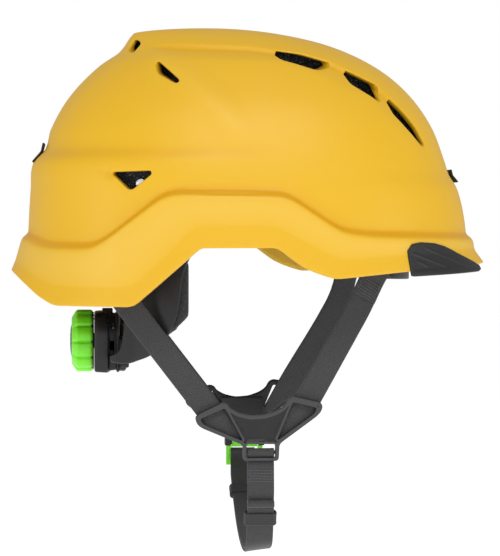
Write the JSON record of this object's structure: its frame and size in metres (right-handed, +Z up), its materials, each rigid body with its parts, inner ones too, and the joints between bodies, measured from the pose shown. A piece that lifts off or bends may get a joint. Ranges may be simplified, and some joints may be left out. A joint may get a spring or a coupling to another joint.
{
  "type": "arborist helmet",
  "caption": "Vented hard-shell climbing helmet with foam liner, ratcheting nape band, and a webbing chin harness with dividers, keepers and a side buckle.",
  "frame": {"origin": "centre of the headband, where the wearer's head sits", "axes": "+X to the front, +Y to the wearer's left, +Z up"},
  "size_m": [0.3022, 0.2276, 0.3318],
  "materials": {
    "yellow_shell": "moulded, satin gloss",
    "soft_black": "soft moulded plastic",
    "black_plastic": "moulded, fine matt grain",
    "green_plastic": "moulded, satin",
    "steel": "plain",
    "webbing": "woven",
    "pad_foam": "knitted cover",
    "liner_foam": "bead foam"
  },
  "bodies": {
    "shell": {"outer_shell": "yellow_shell", "brim_insert_left": "soft_black", "brim_insert_right": "soft_black", "impact_liner": "liner_foam", "crown_pad": "pad_foam", "liner_rivets": "steel", "headband": "black_plastic", "brow_pad": "pad_foam", "temple_pins": "black_plastic", "anchor_front_left": "black_plastic", "anchor_front_right": "black_plastic", "anchor_rear_left": "black_plastic", "anchor_rear_right": "black_plastic"},
    "front_clip": {"front_clip": "soft_black"},
    "rear_clip": {"rear_clip": "soft_black"},
    "cradle": {"ratchet_base": "black_plastic", "ratchet_cover": "black_plastic", "housing_screws": "steel", "detent_spring": "steel", "neck_pad": "pad_foam"},
    "knob": {"knob": "green_plastic", "knob_cap": "black_plastic", "ratchet_ring": "black_plastic", "pinion": "black_plastic", "knob_screw": "steel"},
    "arm_left": {"nape_arm_left": "black_plastic", "nape_pad_left": "pad_foam"},
    "arm_right": {"nape_arm_right": "black_plastic", "nape_pad_right": "pad_foam"},
    "side_left": {"side_strap_left": "webbing", "strap_end_front_left": "black_plastic", "strap_end_rear_left": "black_plastic", "divider_left": "black_plastic", "divider_back_left": "black_plastic", "buckle_socket": "black_plastic"},
    "side_right": {"side_strap_right": "webbing", "strap_end_front_right": "black_plastic", "strap_end_rear_right": "black_plastic", "divider_right": "black_plastic", "divider_back_right": "black_plastic"},
    "release_button": {"release_button": "green_plastic"},
    "chin": {"chin_strap": "webbing", "buckle_tongue": "green_plastic"},
    "keeper_right": {"keeper_right": "webbing"},
    "keeper_left": {"keeper_left": "webbing"}
  },
  "joints": [
    {"name": "front_clip_flex", "type": "hinge", "parent": "shell", "child": "front_clip", "pos_m": [0.1294, 0, 0.0466], "axis": [0, -1, 0], "range_deg": [0, 10], "stiffness_Nm_per_rad": 0.05},
    {"name": "rear_clip_flex", "type": "hinge", "parent": "shell", "child": "rear_clip", "pos_m": [-0.1314, 0, 0.0626], "axis": [0, 1, 0], "range_deg": [0, 10], "stiffness_Nm_per_rad": 0.05},
    {"name": "cradle_tilt", "type": "hinge", "parent": "shell", "child": "cradle", "pos_m": [-0.038, 0, 0.003], "axis": [0, 1, 0], "range_deg": [-8, 8]},
    {"name": "knob_turn", "type": "hinge", "parent": "cradle", "child": "knob", "pos_m": [-0.1, 0, -0.0645], "axis": [1, 0, 0], "range_deg": [0, 118]},
    {"name": "arm_left_slide", "type": "slide", "parent": "cradle", "child": "arm_left", "axis": [0, 1, 0], "range_m": [-0.0125, 0]},
    {"name": "arm_right_slide", "type": "slide", "parent": "cradle", "child": "arm_right", "axis": [0, -1, 0], "range_m": [-0.0125, 0]},
    {"name": "side_left_swing", "type": "hinge", "parent": "shell", "child": "side_left", "pos_m": [0.081, 0.074, -0.006], "axis": [0.999, 0, 0.0446], "range_deg": [0, 30]},
    {"name": "side_right_swing", "type": "hinge", "parent": "shell", "child": "side_right", "pos_m": [0.081, -0.074, -0.006], "axis": [-0.999, 0, -0.0446], "range_deg": [0, 30]},
    {"name": "button_press", "type": "slide", "parent": "side_left", "child": "release_button", "axis": [0, -1, 0], "range_m": [0, 0.0012], "stiffness_N_per_m": 400, "springref_m": -0.001},
    {"name": "chin_open", "type": "hinge", "parent": "side_right", "child": "chin", "pos_m": [0.0026, -0.0765, -0.1338], "axis": [-1, 0, 0], "range_deg": [0, 75]},
    {"name": "keeper_right_slide", "type": "slide", "parent": "chin", "child": "keeper_right", "axis": [0, 0.3685, -0.9296], "range_m": [0, 0.005]},
    {"name": "keeper_left_slide", "type": "slide", "parent": "chin", "child": "keeper_left", "axis": [0, 0.8747, 0.4846], "range_m": [-0.008, 0.008]}
  ],
  "couplings": [
    {"joint": "arm_left_slide", "follows": "knob_turn", "m_per_rad": -0.006},
    {"joint": "arm_right_slide", "follows": "knob_turn", "m_per_rad": -0.006}
  ]
}
